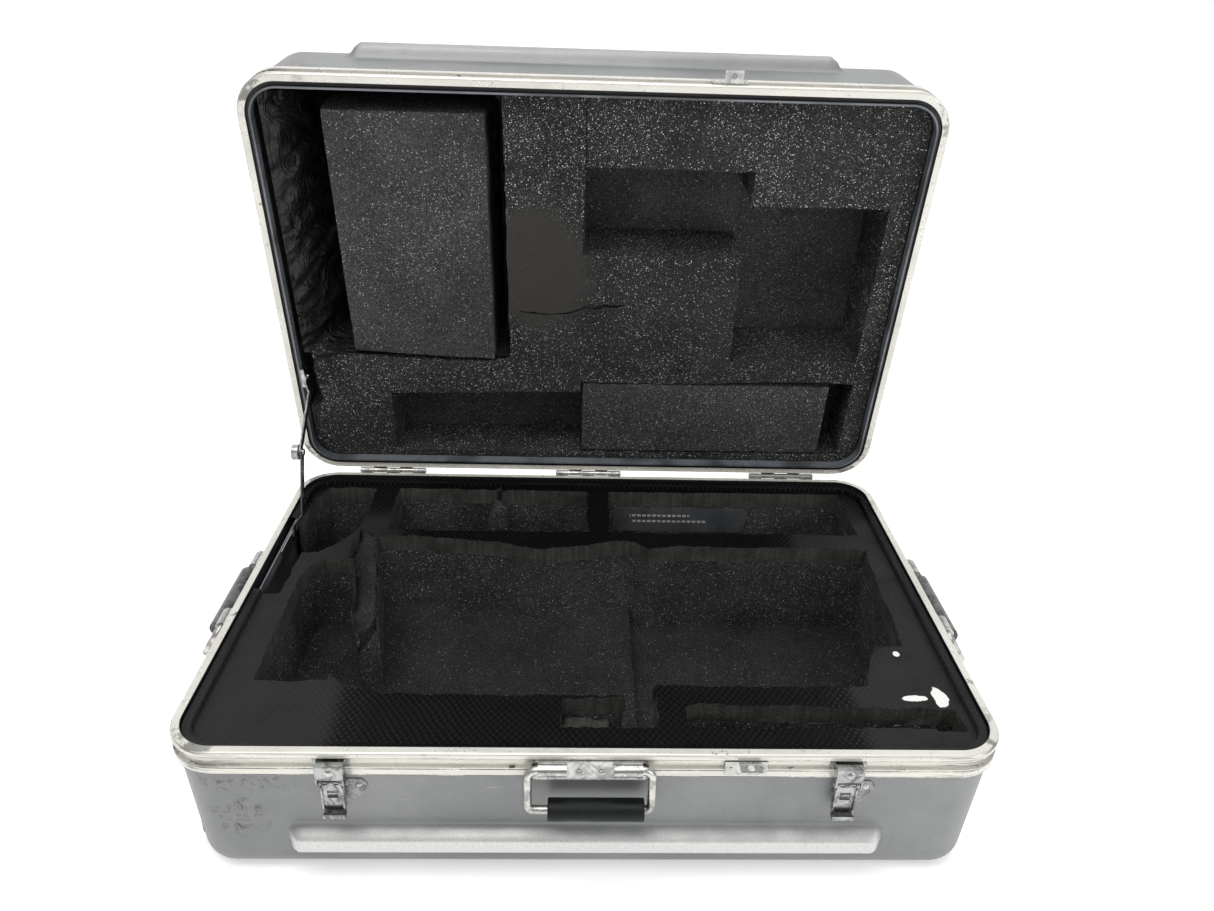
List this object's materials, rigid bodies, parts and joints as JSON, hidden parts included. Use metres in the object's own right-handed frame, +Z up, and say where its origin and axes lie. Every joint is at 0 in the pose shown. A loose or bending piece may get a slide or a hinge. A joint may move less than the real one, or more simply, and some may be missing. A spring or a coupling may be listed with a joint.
{
  "type": "hard equipment case",
  "caption": "Hard transport case with foam-lined base and hinged lid, toggle latches, drop handles, padlock eyes and a folding lid stay.",
  "frame": {"origin": "centre of the base's flat bottom face, with the lid resting open", "axes": "+X along the case's length to the right, +Y to the hinges at the back, +Z up from the face the case stands on"},
  "size_m": [0.846, 0.6847, 0.7069],
  "materials": {
    "shell_plastic": "matte",
    "rim_aluminium": "satin",
    "plated_steel": "satin",
    "stay_steel": "satin",
    "foam_dark": "matte",
    "foam_sheet": "matte",
    "black_rubber": "matte",
    "grip_black": "satin",
    "grip_grey": "satin",
    "lining_film": "gloss",
    "label_card": "satin"
  },
  "bodies": {
    "case_base": {"base_shell": "shell_plastic", "end_feet": "black_rubber", "base_valance": "rim_aluminium", "base_foam_floor": "foam_dark", "base_foam_block": "foam_dark", "base_foam_sheet": "foam_sheet", "foam_divider": "foam_dark", "pocket_label": "label_card", "foam_filler": "foam_dark", "hinge_leaves_base": "plated_steel", "hinge_pins": "plated_steel", "handle_bracket_front": "plated_steel", "handle_bracket_left": "plated_steel", "handle_bracket_right": "plated_steel", "latch_bracket_left": "plated_steel", "latch_pin_left": "plated_steel", "latch_bracket_right": "plated_steel", "latch_pin_right": "plated_steel", "latch_plate_left": "shell_plastic", "latch_plate_right": "shell_plastic", "padlock_eye_base": "plated_steel", "base_rivets": "plated_steel", "stay_bracket_base": "plated_steel"},
    "lid": {"lid_shell": "shell_plastic", "lid_valance": "rim_aluminium", "lid_gasket": "black_rubber", "lid_foam": "foam_dark", "lid_foam_insert": "foam_dark", "lid_foam_loose": "foam_dark", "lid_lining": "lining_film", "hinge_leaves_lid": "plated_steel", "padlock_eye_lid": "plated_steel", "lid_rivets": "plated_steel", "stay_bracket_lid": "plated_steel"},
    "bail_front": {"handle_bail_front": "plated_steel"},
    "bail_left": {"handle_bail_left": "plated_steel"},
    "bail_right": {"handle_bail_right": "plated_steel"},
    "grip_front": {"handle_grip_front": "grip_black"},
    "grip_left": {"handle_grip_left": "grip_grey"},
    "grip_right": {"handle_grip_right": "grip_grey"},
    "lever_left": {"latch_lever_left": "plated_steel", "latch_claw_pin_left": "plated_steel"},
    "lever_right": {"latch_lever_right": "plated_steel", "latch_claw_pin_right": "plated_steel"},
    "claw_left": {"latch_claw_left": "plated_steel"},
    "claw_right": {"latch_claw_right": "plated_steel"},
    "stay_upper": {"stay_upper_link": "stay_steel", "stay_stud": "plated_steel"},
    "stay_lower": {"stay_lower_link": "stay_steel"},
    "thumb_nut": {"stay_thumb_nut": "plated_steel"}
  },
  "joints": [
    {"name": "lid_hinge", "type": "hinge", "parent": "case_base", "child": "lid", "pos_m": [0, 0.2645, 0.166], "axis": [1, 0, 0], "range_deg": [0, 80.8]},
    {"name": "front_handle_swing", "type": "hinge", "parent": "case_base", "child": "bail_front", "pos_m": [0, -0.267, 0.1535], "axis": [-1, 0, 0], "range_deg": [0, 80]},
    {"name": "left_handle_swing", "type": "hinge", "parent": "case_base", "child": "bail_left", "pos_m": [-0.3945, 0, 0.1535], "axis": [0, 1, 0], "range_deg": [-14, 56]},
    {"name": "right_handle_swing", "type": "hinge", "parent": "case_base", "child": "bail_right", "pos_m": [0.3945, 0, 0.1535], "axis": [0, -1, 0], "range_deg": [-14, 56]},
    {"name": "front_grip_slide", "type": "slide", "parent": "bail_front", "child": "grip_front", "axis": [-1, 0, 0], "range_m": [0, 0.0118]},
    {"name": "left_grip_slide", "type": "slide", "parent": "bail_left", "child": "grip_left", "axis": [0, -1, 0], "range_m": [0, 0.0352]},
    {"name": "right_grip_slide", "type": "slide", "parent": "bail_right", "child": "grip_right", "axis": [0, -1, 0], "range_m": [0, 0.0352]},
    {"name": "left_latch_swing", "type": "hinge", "parent": "case_base", "child": "lever_left", "pos_m": [-0.2325, -0.266, 0.1365], "axis": [-1, 0, 0], "range_deg": [0, 95]},
    {"name": "right_latch_swing", "type": "hinge", "parent": "case_base", "child": "lever_right", "pos_m": [0.2355, -0.266, 0.1365], "axis": [-1, 0, 0], "range_deg": [0, 95]},
    {"name": "left_claw_swing", "type": "hinge", "parent": "lever_left", "child": "claw_left", "pos_m": [-0.2325, -0.2624, 0.1205], "axis": [-1, 0, 0], "range_deg": [0, 8]},
    {"name": "right_claw_swing", "type": "hinge", "parent": "lever_right", "child": "claw_right", "pos_m": [0.2355, -0.2624, 0.1205], "axis": [-1, 0, 0], "range_deg": [0, 8]},
    {"name": "stay_top_pivot", "type": "hinge", "parent": "lid", "child": "stay_upper", "pos_m": [0, 0.2437, 0.31317], "axis": [1, 0, 0], "range_deg": [-97, 0]},
    {"name": "stay_elbow", "type": "hinge", "parent": "stay_upper", "child": "stay_lower", "pos_m": [0, 0.15785, 0.24764], "axis": [1, 0, 0], "range_deg": [0, 142]},
    {"name": "thumb_nut_spin", "type": "hinge", "parent": "stay_upper", "child": "thumb_nut", "pos_m": [0, 0.15785, 0.24764], "axis": [1, 0, 0], "continuous": true}
  ],
  "couplings": [
    {"joint": "stay_top_pivot", "follows": "lid_hinge", "ratio": -1.1935},
    {"joint": "stay_elbow", "follows": "lid_hinge", "ratio": 1.7515}
  ]
}
